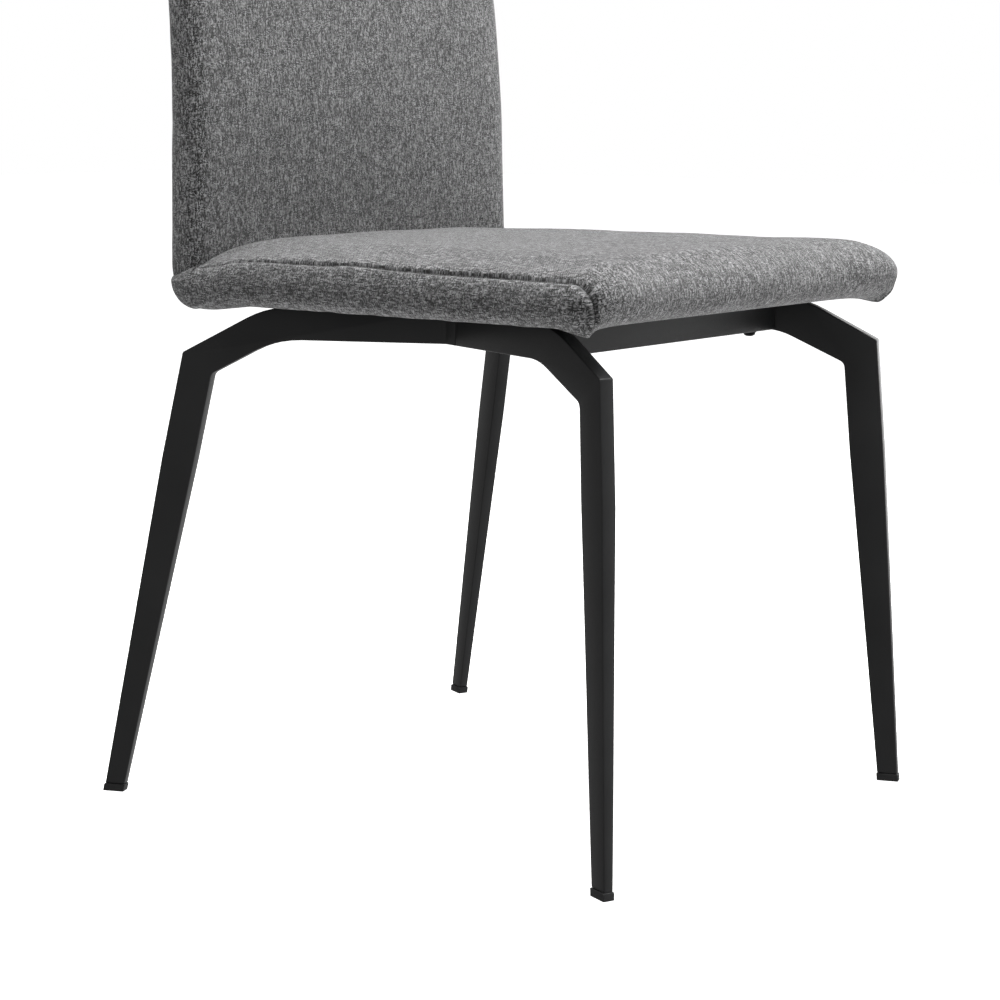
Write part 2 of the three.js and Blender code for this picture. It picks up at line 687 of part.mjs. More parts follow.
// The rear fabric, which runs down the back and under the rear edge of the seat.
function backRearCover() {
  const centre = point(SEAT_REAR - REAR_CORNER_RADIUS, SEAT_BOTTOM + REAR_CORNER_RADIUS);
  const stations = heights(BACK_TOP - 5.5, centre.y, 10).map((z) => ({
    place: point(backRear(z), z), normal: point(1, 0), half: backHalfWidth(z) - 4.6,
  }));
  for (const angle of heights(0, -Math.PI / 2, 5).slice(1)) {
    const normal = point(Math.cos(angle), Math.sin(angle));
    const place = centre.clone().addScaledVector(normal, REAR_CORNER_RADIUS);
    stations.push({ place, normal, half: HALF_WIDTH_REAR - 4.6 });
  }
  const sections = stations.map(({ place, normal, half }) => {
    const inner = place.clone().addScaledVector(normal, -2.2);
    return [[-half, place], [half, place], [half, inner], [-half, inner]].map(
      ([x, { x: y, y: z }]) => new THREE.Vector3(x, y, z));
  });
  return loft(sections, QUAD);
}

// The rear face of the brackets, which is clear of the back board up to their tops.
const bracketFace = () => backRear(SEAT_BOARD.top + BRACKET.rise) - BACK_BOARD[1] - GAP;

// An angle bracket of flat steel, with its foot on the seat board.
function backBracket() {
  const { x, width, thick, reach, rise, bend } = BRACKET;
  const rear = bracketFace();
  const bottom = SEAT_BOARD.top + GAP;
  const shape = new THREE.Shape();
  shape.moveTo(rear - reach, bottom);
  shape.lineTo(rear - bend, bottom);
  shape.absarc(rear - bend, bottom + bend, bend, -Math.PI / 2, 0, false);
  shape.lineTo(rear, bottom + rise);
  shape.lineTo(rear - thick, bottom + rise);
  shape.absarc(rear - bend, bottom + bend, bend - thick, 0, -Math.PI / 2, true);
  shape.lineTo(rear - reach, bottom + thick);
  const plate = new THREE.ExtrudeGeometry(shape, { depth: width, bevelEnabled: false, curveSegments: 4 })
    .applyMatrix4(new THREE.Matrix4().makeBasis(
      new THREE.Vector3(0, 1, 0), new THREE.Vector3(0, 0, 1), new THREE.Vector3(1, 0, 0),
    ))
    .translate(x - width / 2, 0, 0);
  const holes = screwPlaces().map(({ position, backwards }) => {
    const hole = upright(SCREW.radius + GAP, -thick - 2, thick + 2, 16);
    return (backwards ? hole.rotateX(-Math.PI / 2) : hole).translate(...position);
  });
  return cut(plate, ...holes);
}

// The screws of the right-hand bracket: two go down into the seat board and two back into the
// back board. Each position is where the underside of the head sits.
function screwPlaces() {
  const { x, thick, reach, rise } = BRACKET;
  const rear = bracketFace();
  const bottom = SEAT_BOARD.top + GAP;
  const down = (y) => ({ position: [x, y, bottom + thick + GAP], backwards: false });
  const back = (z) => ({ position: [x, rear - thick - GAP, z], backwards: true });
  return [
    down(rear - reach + 12), down(rear - reach + 36),
    back(bottom + rise - 38), back(bottom + rise - 12),
  ];
}

// A pan-head screw whose shank points down from the origin.
function bracketScrew() {
  const { radius, length, headRadius, headHeight } = SCREW;
  const profile = [
    point(0, -length - BRACKET.thick), point(0.4, -length - BRACKET.thick),
    point(radius, 2 - length - BRACKET.thick), point(radius, 0),
    point(headRadius, 0), point(headRadius, headHeight / 2),
    point(headRadius * 0.7, headHeight), point(0, headHeight),
  ];
  return new THREE.LatheGeometry(profile, 16).rotateX(Math.PI / 2);
}

// The slots in the foam that clear the brackets and the heads of their screws.
function bracketSlots() {
  const { x, width, thick, reach, rise } = BRACKET;
  const rear = bracketFace() + 1;
  const bottom = SEAT_BOARD.top - 1;
  const clear = thick + SCREW.headHeight + 1;
  return Object.values(SIDES).flatMap((side) => {
    const [x0, x1] = [side * x - width / 2 - 1, side * x + width / 2 + 1];
    return [
      boxAt(x0, x1, rear - reach - 3, rear, bottom, bottom + clear + 1),
      boxAt(x0, x1, rear - clear - 1, rear, bottom, bottom + rise + 3),
    ];
  });
}

// The hole that a screw bites into, a little wider than its shank.
function screwPilots() {
  return screwPlaces().flatMap(({ position, backwards }) => Object.values(SIDES).map((side) => {
    const hole = upright(SCREW.radius + GAP, -SCREW.length - BRACKET.thick - 1, 1, 16);
    const [x, y, z] = position;
    return (backwards ? hole.rotateX(Math.PI / 2) : hole).translate(side * x, y, z);
  }));
}

function makeBack() {
  const boardBottom = SEAT_BOARD.top + GAP;
  const boardTop = BACK_TOP - 14;
  const padTop = BACK_TOP - 5;
  const board = backLayer(...BACK_BOARD, boardBottom, boardTop, 8);
  const frontPad = overlapOf(
    backBody(COVER + 2 * GAP, SEAT_TOP + 2),
    backLayer(FRONT_PAD_FROM, BACK_THICK_BOTTOM + 1, SEAT_TOP, BACK_TOP, 0),
  );
  const rearPad = backLayer(...REAR_PAD, boardBottom + 10, padTop - 8, 11);
  addPart("back_board", cut(board, ...screwPilots()), "plywood");
  addPart("back_front_pad", cut(frontPad, ...bracketSlots()), "foam");
  addPart("back_rear_pad", rearPad, "foam");
  addPart("back_front_cover", backFrontCover(), "fabric");
  addPart("back_rear_cover", backRearCover(), "fabric");
  addPair("back_bracket", backBracket(), "zincSteel");
  for (const [name, side] of Object.entries(SIDES)) {
    screwPlaces().forEach(({ position: [px, py, pz], backwards }, i) => {
      const screw = addPart(`bracket_screw_${name}_${i + 1}`, bracketScrew(), "zincSteel");
      screw.position.set(side * px, py, pz);
      screw.rotation.x = backwards ? Math.PI / 2 : 0;
    });
  }
}

makeFrame();
makeBolts();
makeSeat();
makeBack();

export default chair;
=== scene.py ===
"""The looks of a dining chair: a seat and back in a grey melange weave on a black steel frame.

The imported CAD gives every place. Lengths inside the builders are in millimetres, in the CAD's frame:
+Z up, the sitter faces -Y, and "left" is -X.
"""
import math

import bmesh
import bpy
import numpy as np
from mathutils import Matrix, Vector


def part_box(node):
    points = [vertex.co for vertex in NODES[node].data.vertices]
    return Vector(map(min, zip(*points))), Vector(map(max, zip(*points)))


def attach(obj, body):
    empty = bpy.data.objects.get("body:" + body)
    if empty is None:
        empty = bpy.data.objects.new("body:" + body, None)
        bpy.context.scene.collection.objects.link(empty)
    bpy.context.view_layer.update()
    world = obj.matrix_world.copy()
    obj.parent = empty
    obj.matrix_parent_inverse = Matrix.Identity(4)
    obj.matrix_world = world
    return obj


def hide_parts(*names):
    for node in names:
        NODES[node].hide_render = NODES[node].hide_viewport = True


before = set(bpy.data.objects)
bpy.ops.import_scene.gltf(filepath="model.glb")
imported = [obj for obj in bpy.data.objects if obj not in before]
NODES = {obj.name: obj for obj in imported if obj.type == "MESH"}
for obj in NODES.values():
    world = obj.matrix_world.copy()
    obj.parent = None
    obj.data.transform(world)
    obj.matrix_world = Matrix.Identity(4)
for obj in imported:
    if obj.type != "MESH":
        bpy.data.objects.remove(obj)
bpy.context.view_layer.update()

MM = 0.001


# ------------------------------------------------------------------ sizes, from the frame


def box_mm(node):
    low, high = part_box(node)
    return np.array(low) / MM, np.array(high) / MM


seat_low, seat_high = box_mm("seat_cover")
panel_low, panel_high = box_mm("seat_side_panel_right")
board_low = box_mm("seat_board")[0]
lining_low, lining_high = box_mm("dust_cover")
back_low, back_high = box_mm("back_front_cover")

SEAT_FRONT = seat_low[1]
SEAT_REAR = panel_high[1]
SEAT_TOP = seat_high[2]
SEAM_FRONT = panel_low[1]  # the side seams' furthest point forwards
BACK_FACE = back_low[1]
BACK_TOP = back_high[2]
UNDERSIDE = lining_high[2] + 0.4
HALF_FRONT = panel_high[0]
HALF_REAR = back_high[0]

CORNER_DROP = 5.6  # the corners of the seat hang this far under its hem
HEM = board_low[2] - 1.3
CORNER_RADIUS = 26
EDGE_RADIUS = 9
NOSE_REACH = 35
SEAM_NOSE = {"reach": 22, "middle": 441, "under": 9}
# The side seam's height at distances from front to rear.
SEAM = [
    (-227, 471.7), (-100, 472.2), (-56, 473.2), (-3, 475.6), (25, 473.8), (106, 474.4),
    (131, 472.4), (160, 467), (186, 463.4),
]
PITCH = 6.2  # between the points of the cushions' grids
BACK_THICK = (SEAT_REAR - BACK_FACE, 26)
BACK_CURVE = {"start": 589, "end": 772, "radius": 1055}
HALF_TOP = 203
GROOVE = 3.4
SIDE_SWELL = 8.0
REAR_SWELL = 2.2
CORNER_SWELL = (8.0, 6.4)  # sideways and forwards
SEAM_START = SEAM_FRONT - 1
SEAM_INSET = 2.6  # the side seams lie this far in from the seat's sides
TOP_REAR = 173  # the seat's top ends here, just in front of the back
PANEL_MIDDLE = 452.0  # the height of the side panels' middle lines
TURN_IN = 2.6  # how far the rear panel's edges turn in
LINING_TUCK = 3  # the lining is this much narrower than the CAD's on each side


def smooth_interp(x, points, reach):
    """The line through points, averaged over a reach to both sides."""
    xs, ys = zip(*points)
    offsets = np.linspace(-reach, reach, 9)
    return np.mean([np.interp(np.asarray(x, float) + o, xs, ys) for o in offsets], axis=0)


def smoothstep(value, low, high):
    t = np.clip((np.asarray(value, float) - low) / (high - low), 0, 1)
    return t * t * (3 - 2 * t)


def blend(a, b, share):
    return a + (b - a) * share


def seat_half(y):
    return blend(HALF_FRONT, HALF_REAR, (y - SEAM_FRONT) / (SEAT_REAR - SEAM_FRONT))


def rear_widening(y):
    """How much wider the seat's rear corners are than the line of its sides."""
    return REAR_SWELL / 2 * smoothstep(y, 150, 180)


def waves(x, seed, lengths, height):
    """A smooth irregular wave along x."""
    rng = np.random.default_rng(seed)
    return height * sum(
        np.sin(2 * np.pi * np.asarray(x, float) / length + rng.uniform(0, 6.28)) for length in lengths
    ) / len(lengths)


def swell(points, seed, length, height):
    """A smooth irregular height over points in space, for the unevenness of foam and cloth."""
    rng = np.random.default_rng(seed)
    total = np.zeros(len(points))
    for _ in range(7):
        direction = rng.normal(size=3)
        direction *= 2 * np.pi / (length * rng.uniform(0.7, 1.5) * np.linalg.norm(direction))
        total += np.sin(points @ direction + rng.uniform(0, 6.28))
    return total * height / 7


# ------------------------------------------------------------------ meshes


class Surface:
    """Points in millimetres and quads, with a place on the cloth for each corner of a quad."""

    def __init__(self):
        self.points = []
        self.faces = []
        self.cloth = []

    def add_points(self, points):
        first = len(self.points)
        shape = np.asarray(points).shape[:-1]
        self.points.extend(np.asarray(points, float).reshape(-1, 3))
        return first + np.arange(int(np.prod(shape))).reshape(shape)

    def grid(self, index, cloth):
        for i in range(index.shape[0] - 1):
            for j in range(index.shape[1] - 1):
                corners = [(i, j), (i + 1, j), (i + 1, j + 1), (i, j + 1)]
                ids = [int(index[c]) for c in corners]
                if len(set(ids)) < 3:
                    continue
                places = [cloth[c] for c in corners]
                keep = [k for k in range(4) if ids[k] not in ids[:k]]
                self.faces.append([ids[k] for k in keep])
                self.cloth.append([places[k] for k in keep])

    def build(self, name, material):
        mesh = bpy.data.meshes.new(name)
        mesh.from_pydata([Vector(p) * MM for p in self.points], [], self.faces)
        layer = mesh.uv_layers.new(name="weave")
        for face, places in zip(mesh.polygons, self.cloth):
            for loop, (u, v) in zip(face.loop_indices, places):
                layer.data[loop].uv = (u * MM, v * MM)
        bm = bmesh.new()
        bm.from_mesh(mesh)
        bmesh.ops.remove_doubles(bm, verts=bm.verts, dist=0.02 * MM)
        bmesh.ops.recalc_face_normals(bm, faces=bm.faces)
        for face in bm.faces:
            face.smooth = True
        bm.to_mesh(mesh)
        bm.free()
        mesh.materials.append(material)
        piece = bpy.data.objects.new(name, mesh)
        bpy.context.scene.collection.objects.link(piece)
        return piece


def lengths_along(loop):
    """The length along a closed line at each of its points, and back at the first."""
    run = np.linalg.norm(np.diff(loop, axis=0, append=loop[:1]), axis=1)
    return np.concatenate([[0], np.cumsum(run)])


def closed_rows(grid):
    """The grid with its first column repeated at the end, so that its rows close."""
    return np.concatenate([grid, grid[:, :1]], axis=1)


def coords(piece):
    flat = np.zeros(len(piece.data.vertices) * 3, np.float32)
    piece.data.vertices.foreach_get("co", flat)
    return flat.reshape(-1, 3).astype(float) / MM


def set_coords(piece, points):
    piece.data.vertices.foreach_set("co", (points * MM).astype(np.float32).ravel())
    piece.data.update()


def normals(piece):
    flat = np.zeros(len(piece.data.vertices) * 3, np.float32)
    piece.data.vertices.foreach_get("normal", flat)
    return flat.reshape(-1, 3).astype(float)


def puff(piece, held, pressure, cap, freedom):
    """Swells a piece with a cloth simulation. held is how firmly each point stays, from 0 to 1. No point
    moves further than cap, and freedom scales each point's movement."""
    start = coords(piece)
    group = piece.vertex_groups.new(name="held")
    for weight in np.unique(np.round(held, 1)):
        members = np.nonzero(np.round(held, 1) == weight)[0]
        if weight > 0:
            group.add(members.tolist(), float(weight), "REPLACE")
    cloth = piece.modifiers.new("cloth", "CLOTH")
    settings = cloth.settings
    settings.quality = 6
    settings.mass = 0.3
    settings.tension_stiffness = 25
    settings.compression_stiffness = 15
    settings.shear_stiffness = 8
    settings.bending_stiffness = 0.6
    settings.use_pressure = True
    settings.uniform_pressure_force = pressure
    settings.effector_weights.gravity = 0
    settings.vertex_group_mass = "held"
    cloth.collision_settings.use_collision = False
    cloth.collision_settings.use_self_collision = False
    for step in range(1, 21):
        bpy.context.scene.frame_set(step)
    shown = piece.evaluated_get(bpy.context.evaluated_depsgraph_get())
    moved = coords(shown) - start
    piece.modifiers.remove(cloth)
    bpy.context.scene.frame_set(1)
    far = np.linalg.norm(moved, axis=1, keepdims=True)
    set_coords(piece, start + moved * cap / (cap + far) * freedom[:, None])


def paint_seam_shade(piece, depth):
    """Stores how deep in a seam each point lies, from 0 to 1, for the fabric's colour to darken there as
    painted shade.
    """
    layer = piece.data.attributes.new("seam_shade", "FLOAT", "POINT")
    layer.data.foreach_set("value", np.asarray(depth, np.float32))


def subdivide(piece, levels=1):
    modifier = piece.modifiers.new("fine", "SUBSURF")
    modifier.levels = modifier.render_levels = levels
    modifier.uv_smooth = "NONE"


# ------------------------------------------------------------------ seat cushion


def seam_nose(steps):
    """The seam's curve round the front corner, from the top of the front down to the hem, as (y, z)."""
    top = SEAM[0][1]
    middle, reach, under = SEAM_NOSE["middle"], SEAM_NOSE["reach"], SEAM_NOSE["under"]
    upper = np.linspace(0, np.pi / 2, int(steps * 0.7), endpoint=False)
    lower = np.linspace(0, np.pi / 2, steps - len(upper))
    y = np.concatenate([
        SEAM_START + reach - reach * np.sin(upper),
        SEAM_START + under - under * np.cos(lower),
    ])
    z = np.concatenate([
        middle + (top - middle) * np.cos(upper),
        middle - (middle - HEM + CORNER_DROP) * np.sin(lower),
    ])
    return np.stack([y, z], axis=1)


def middle_nose(steps):
    """The same run down the middle of the seat's front."""
    angle = np.linspace(0, np.pi, steps)
    centre_y, centre_z = SEAT_FRONT + NOSE_REACH, (SEAT_TOP + HEM) / 2
    y = centre_y - NOSE_REACH * np.sin(angle) ** 0.9
    z = centre_z + (SEAT_TOP - HEM) / 2 * np.cos(angle)
    return np.stack([y, z], axis=1)


def hem_height(x, y):
    """The height of the cushion's lower edge, which sags at the corners."""
    rear_corner = smoothstep(y, 128, 164) * (1 - smoothstep(y, 196, 212))
    front_corner = smoothstep(-y, 207, 238)
    across = smoothstep(np.abs(x), 184, 216)
    wavy = waves(x + y, 3, (61, 37, 24), 0.55)
    return HEM + wavy - CORNER_DROP * across * np.maximum(rear_corner, front_corner)


def crown(share, y):
    """How much of the cushion's full height it has at a share of its half width."""
    rear = smoothstep(y, 40, 172)
    power, shoulder = blend(9.0, 6.4, rear), blend(0.62, 1.0, rear)
    return np.clip(1 - np.abs(share) ** power, 0, 1) ** shoulder


def seat_section(share, counts):
    """The cushion's outline (x, y, z) at one share of its half width. It runs from the rear end of the
    top forwards, down the front, back underneath and up the rear."""
    top_count, nose_count, rear_count = counts
    level_y = np.linspace(TOP_REAR, SEAM_START + SEAM_NOSE["reach"], top_count)
    seam_z = smooth_interp(level_y, SEAM, 9)
    lift = crown(share, level_y)
    top = np.stack([level_y, blend(seam_z, SEAT_TOP, lift)], axis=1)
    bulge = np.clip(1 - abs(share) ** 12, 0, 1) ** 0.6
    nose = blend(seam_nose(nose_count), middle_nose(nose_count), bulge)
    under = np.stack([level_y[::-1], np.full(top_count, HEM)], axis=1)
    angle = np.linspace(-np.pi / 2, 0, rear_count)
    centre = (SEAT_REAR - CORNER_RADIUS, HEM - CORNER_DROP + CORNER_RADIUS)
    reach = CORNER_RADIUS + REAR_SWELL * np.cos(angle)
    corner = np.stack([centre[0] + reach * np.cos(angle), centre[1] + CORNER_RADIUS * np.sin(angle)], axis=1)
    shelf_y = np.linspace(SEAT_REAR + REAR_SWELL - 2, 178, 6)
    shelf_z = blend(462.5 - (shelf_y - 192) * 0.3, 464, lift[0])
    shelf = np.stack([shelf_y, shelf_z], axis=1)
    step_z = np.linspace(shelf_z[-1], top[0, 1], 6)[1:-1]
    step = np.stack([np.full(4, 175.5), step_z], axis=1)
    outline = np.concatenate([top, nose[1:], under[1:], corner, shelf, step])
    y = outline[:, 0]
    rounding = edge_radius(len(top), len(nose), len(under), len(corner), len(shelf), y)
    half = seat_half(y) - rounding + rear_widening(y)
    x = share * half
    z = outline[:, 1].copy()
    under_part = slice(len(top) + len(nose) - 1, len(top) + len(nose) + len(under) - 2)
    edge = (1 - np.abs(share)) * half[under_part] + 1e-6
    from_edge = np.minimum(edge, y[under_part] - SEAT_FRONT - NOSE_REACH + 8)
    tuck = smoothstep(from_edge, 3, 15)
    z[under_part] = blend(hem_height(x[under_part], y[under_part]), UNDERSIDE, tuck)
    return np.stack([x, y, z], axis=1)


def edge_radius(top, nose, under, corner, shelf, y):
    """How far the side panel's edge is rounded inwards at each point of the outline."""
    radius = np.full(len(y), SEAM_INSET)
    start = top + nose - 1
    radius[start - 3:start] = [3, 4, 5]
    radius[start:start + under - 1] = 6
    rear = slice(start + under - 1, start + under - 1 + corner)
    radius[rear] = np.linspace(6, EDGE_RADIUS, corner)
    radius[rear.stop:rear.stop + shelf] = np.linspace(EDGE_RADIUS, 3, shelf)
    return radius


def seat_surface():
    counts = (66, 20, 12)
    shares = seat_shares()
    sections = np.array([seat_section(share, counts) for share in shares])
    surface = Surface()
    index = surface.add_points(sections)
    along = lengths_along(sections[len(shares) // 2])
    across = np.array([share * HALF_REAR for share in shares])
    cloth = np.stack(np.broadcast_arrays(across[:, None], along[None, :]), axis=2)
    surface.grid(closed_rows(index), cloth)
    for side, row in ((-1, 0), (1, -1)):
        side_panel(surface, sections[row], index[row], side)
    return surface


def seat_shares():
    """Shares of the half width, closer together beside the side seams."""
    inner = np.linspace(-1, 1, 2 * round(HALF_REAR / PITCH) + 1)[1:-1]
    near = np.array([1 - 1.2 / HALF_REAR, 1 - 3.4 / HALF_REAR])
    inner = inner[np.abs(inner) < near[1] - 0.008]
    return np.concatenate([[-1], -near, inner, near[::-1], [1]])


def side_panel(surface, outline, outline_index, side):
    """Rings from the outline of a side panel in to its middle line. It swells between its seams."""
    y, z = outline[:, 1], outline[:, 2]
    widening = rear_widening(y)
    radius = seat_half(y) + widening - np.abs(outline[:, 0])
    middle = np.stack([np.clip(y, SEAM_FRONT + 21, TOP_REAR), np.full(len(y), PANEL_MIDDLE)], axis=1)
    towards = middle - outline[:, 1:]
    length = np.linalg.norm(towards, axis=1)
    unit = towards / length[:, None]
    rings, places = [outline_index], [np.stack([z, y], axis=1)]

    def ring(depth, height):
        ring_yz = outline[:, 1:] + unit * depth[:, None]
        puffed = SIDE_SWELL * np.sin(np.pi / 2 * np.clip(depth / length, 0, 1)) ** 0.8
        x = side * (seat_half(ring_yz[:, 0]) + widening - radius + height + puffed)
        rings.append(surface.add_points(np.stack([x, ring_yz[:, 0], ring_yz[:, 1]], axis=1)))
        places.append(np.stack([ring_yz[:, 1], ring_yz[:, 0]], axis=1))

    for angle in (math.radians(40), math.radians(90)):
        ring(radius * (1 - math.cos(angle)), radius * math.sin(angle))
    for share in (0.25, 0.5, 0.75, 1.0):
        ring(blend(radius, length, share), radius)
    surface.grid(closed_rows(np.array(rings)), closed_rows(np.array(places)))


def seam_distance(points):
    """How far points are from the side seams, top and front only."""
    level_y = np.linspace(TOP_REAR, SEAM_FRONT + SEAM_NOSE["reach"], 1300)
    line = np.concatenate([
        np.stack([level_y, smooth_interp(level_y, SEAM, 9)], axis=1), seam_nose(300),
    ])
    half = seat_half(line[:, 0]) - SEAM_INSET
    distance = np.full(len(points), 1e9)
    for side in (-1, 1):
        seam = np.stack([side * half, line[:, 0], line[:, 1]], axis=1)
        near = np.nonzero(points[:, 0] * side > 150)[0]
        for part in np.array_split(near, 40):
            if len(part):
                gap = np.linalg.norm(points[part, None, :] - seam[None, :, :], axis=2).min(axis=1)
                distance[part] = np.minimum(distance[part], gap)
    return distance


def with_full_corners(points):
    """The points with the seat's front corners swollen forwards and to the sides at middle height."""
    x, y, z = points.T
    level = np.clip((z - HEM) / (SEAT_TOP - HEM), 0, 1)
    share = smoothstep(-y, 150, 236) * smoothstep(np.abs(x), 120, 206) * np.sin(np.pi * level) ** 0.7
    forwards = CORNER_SWELL[1] * share * smoothstep(-y, 196, 240)
    return np.stack([x + np.sign(x) * CORNER_SWELL[0] * share, y - forwards, z], axis=1)


def seat_cushion(material):
    piece = seat_surface().build("seat_cushion", material)
    points = coords(piece)
    distance = seam_distance(points)
    set_coords(piece, with_full_corners(points))
    y, z = points[:, 1], points[:, 2]
    under_seat = (z < HEM + 2) & (y < 181)
    under_back = y > TOP_REAR + 1
    held = np.where(distance < 1.6, 1.0, np.where(distance < 4, 0.4, 0.0))
    held = np.where(under_seat | under_back, 1.0, held)
    puff(piece, held, pressure=4, cap=5, freedom=smoothstep(distance, 1, 30))
    points = coords(piece)
    free = smoothstep(distance, 2, 40) * (1 - smoothstep(-z, -HEM - 8, -HEM - 1)) * (y < TOP_REAR + 1)
    bumps = swell(points, 5, 120, 1.1) + swell(points, 6, 42, 0.35)
    pucker = waves(y + points[:, 2], 8, (37, 26, 21), 0.5) * np.exp(-((distance - 6) / 6) ** 2)
    points += normals(piece) * (bumps * free + pucker * (distance > 1.3))[:, None]
    sink = GROOVE * np.exp(-(distance / 1.0) ** 2)
    points -= normals(piece) * sink[:, None]
    set_coords(piece, points)
    # Painted shade: the fabric's colour darkens along the side seams, by this stored depth.
    paint_seam_shade(piece, np.exp(-(distance / 0.9) ** 2))
    subdivide(piece)
    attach(piece, "root")
    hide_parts("seat_cover", "seat_foam", "seat_side_panel_left", "seat_side_panel_right")


# ------------------------------------------------------------------ back


def back_middle(z):
    """The middle of the back's thickness. It is upright low down and leans back above the curve."""
    rise = np.clip(z, BACK_CURVE["start"], BACK_CURVE["end"]) - BACK_CURVE["start"]
    level = np.sqrt(BACK_CURVE["radius"] ** 2 - rise ** 2)
    straight = np.maximum(z - BACK_CURVE["end"], 0) * rise / level
    return SEAT_REAR - BACK_THICK[0] / 2 + BACK_CURVE["radius"] - level + straight


def back_share(z):
    return np.clip((z - back_low[2]) / (BACK_TOP - back_low[2]), -0.1, 1)


def back_front(z):
    return back_middle(z) - blend(*BACK_THICK, back_share(z)) / 2


def back_rear(z):
    return back_middle(z) + blend(*BACK_THICK, back_share(z)) / 2


def back_half(z):
    return blend(HALF_REAR, HALF_TOP, np.clip(back_share(z), 0, 1))


def rounded_section(half, front, rear, radius, pitch):
    """A rounded rectangle in plan from the middle of the rear round by the left, as (x, y)."""
    side_steps, face_steps = 4, round((half - radius) / pitch)
    corner = np.linspace(0, np.pi / 2, 5)
    x_face = np.linspace(0, half - radius, face_steps + 1)
    right = []
    right += [(x, rear) for x in x_face[:-1]]
    right += [(half - radius + radius * math.sin(a), rear - radius + radius * math.cos(a)) for a in corner]
    right += [(half, y) for y in np.linspace(rear - radius, front + radius, side_steps)[1:-1]]
    right += [(half - radius + radius * math.cos(a), front + radius - radius * math.sin(a)) for a in corner]
    right += [(x, front) for x in x_face[::-1][1:]]
    left = [(-x, y) for x, y in right[1:-1]][::-1]
    return np.array(right + left)


def back_rows(top_radius, pitch):
    """Heights of the back's sections and how far each is drawn in, with rounded top and foot."""
    bottom, top = 446.0, BACK_TOP - 1.0
    foot = [(bottom, 9.0), (bottom + 4, 4.0), (bottom + 9, 2.2), (bottom + 14, 1.1), (bottom + 19, 0.3)]
    body = [(z, 0.0) for z in np.linspace(bottom + 25, top - top_radius, round((top - bottom) / pitch))]
    roll = [
        (top - top_radius + top_radius * math.sin(a), top_radius * (1 - math.cos(a)))
        for a in np.linspace(0, np.pi / 2, 7)[1:]
    ]
    return foot + body + roll


def back_surface(inset):
    """The front and sides of the back as one closed surface, with rounded edges all round."""
    surface = Surface()
    sections = []
    for z, drawn in back_rows(11.5, PITCH):
        front, rear = back_front(z) + inset + drawn, back_rear(z) - inset - drawn
        radius = min(EDGE_RADIUS - 0.5 * drawn, (rear - front) / 2 - 0.3)
        plan = rounded_section(back_half(z) - inset - drawn, front, rear, radius, PITCH)
        heel = np.clip((plan[:, 1] - 180) / 27, 0, 1) * 5.5 * (1 - smoothstep(z, 446, 500))
        sections.append(np.stack([plan[:, 0], plan[:, 1], z - heel], axis=1))
    count = min(len(s) for s in sections)
    if any(len(s) != count for s in sections):
        sections = [resampled(s, count) for s in sections]
    sections = np.array(sections)
    index = surface.add_points(sections)
    around = lengths_along(sections[len(sections) // 2])
    heights = sections[:, :, 2].mean(axis=1)
    cloth = np.stack(np.broadcast_arrays(around[None, :], heights[:, None]), axis=2)
    surface.grid(closed_rows(index), cloth)
    for row in (0, -1):
        close_end(surface, index[row], sections[row])
    return surface


def resampled(section, count):
    """A closed section with count points, evenly spaced along it."""
    closed = np.concatenate([section, section[:1]])
    run = lengths_along(section)
    at = np.linspace(0, run[-1], count + 1)[:-1]
    return np.stack([np.interp(at, run, closed[:, i]) for i in range(3)], axis=1)


def close_end(surface, index, section):
    """Closes an end of the back with quads from its front edge to its rear edge."""
    count = len(index)
    half = count // 2
    rear = [index[i % count] for i in range(-(half // 2), half // 2 + 1)]
    front = [index[(half - i) % count] for i in range(-(half // 2), half // 2 + 1)]
    pairs = np.array([rear, front])
    place = {int(i): (p[0], p[1]) for i, p in zip(index, section)}
    cloth = np.array([[place[int(i)] for i in row] for row in pairs])
    surface.grid(pairs, cloth)


def back_cushion(material):
    piece = back_surface(-1.6).build("back_cushion", material)
    points = coords(piece)
    z = points[:, 2]
    rear_side = points[:, 1] > back_rear(z) - 5
    held = np.where((z < 462) | rear_side, 1.0, 0.0)
    puff(piece, held, pressure=3, cap=3, freedom=np.ones(len(points)))
    points = coords(piece)
    front_side = smoothstep(back_front(z) + 12 - points[:, 1], 0, 8)
    bumps = swell(points, 11, 140, 1.0) + swell(points, 12, 45, 0.3)
    edge = swell(points, 13, 30, 0.45)
    points += normals(piece) * (bumps * front_side + edge * (1 - front_side) * (z > 470))[:, None]
    set_coords(piece, points)
    subdivide(piece)
    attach(piece, "root")
    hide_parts("back_front_cover", "back_front_pad", "back_rear_pad")


def rear_stations():
    """The line of the rear panel down the middle of the back, round the seat's rear edge and in under
    it, as (y, z) with the outward direction at each point."""
    down = np.arange(BACK_TOP - 9, HEM - CORNER_DROP + CORNER_RADIUS, -PITCH)
    rows = [((back_rear(z), z), (1.0, 0.0)) for z in down]
    centre = (SEAT_REAR - CORNER_RADIUS, HEM - CORNER_DROP + CORNER_RADIUS)
    for angle in np.linspace(0, -np.pi / 2, 9):
        normal = (math.cos(angle), math.sin(angle))
        rows.append((tuple(c + CORNER_RADIUS * n for c, n in zip(centre, normal)), normal))
    for y in np.arange(centre[0] - 5, 158, -5):
        rise = min((centre[0] - y) / 20, 1) * (UNDERSIDE - HEM + CORNER_DROP - 1.6)
        rows.append(((y, centre[1] - CORNER_RADIUS + rise), (0.0, -1.0)))
    return rows


def rear_half(z):
    """Half the rear panel's width, which leaves the rounded edges of the back free."""
    return np.where(z > 470, back_half(z), HALF_REAR) - EDGE_RADIUS + 1.5


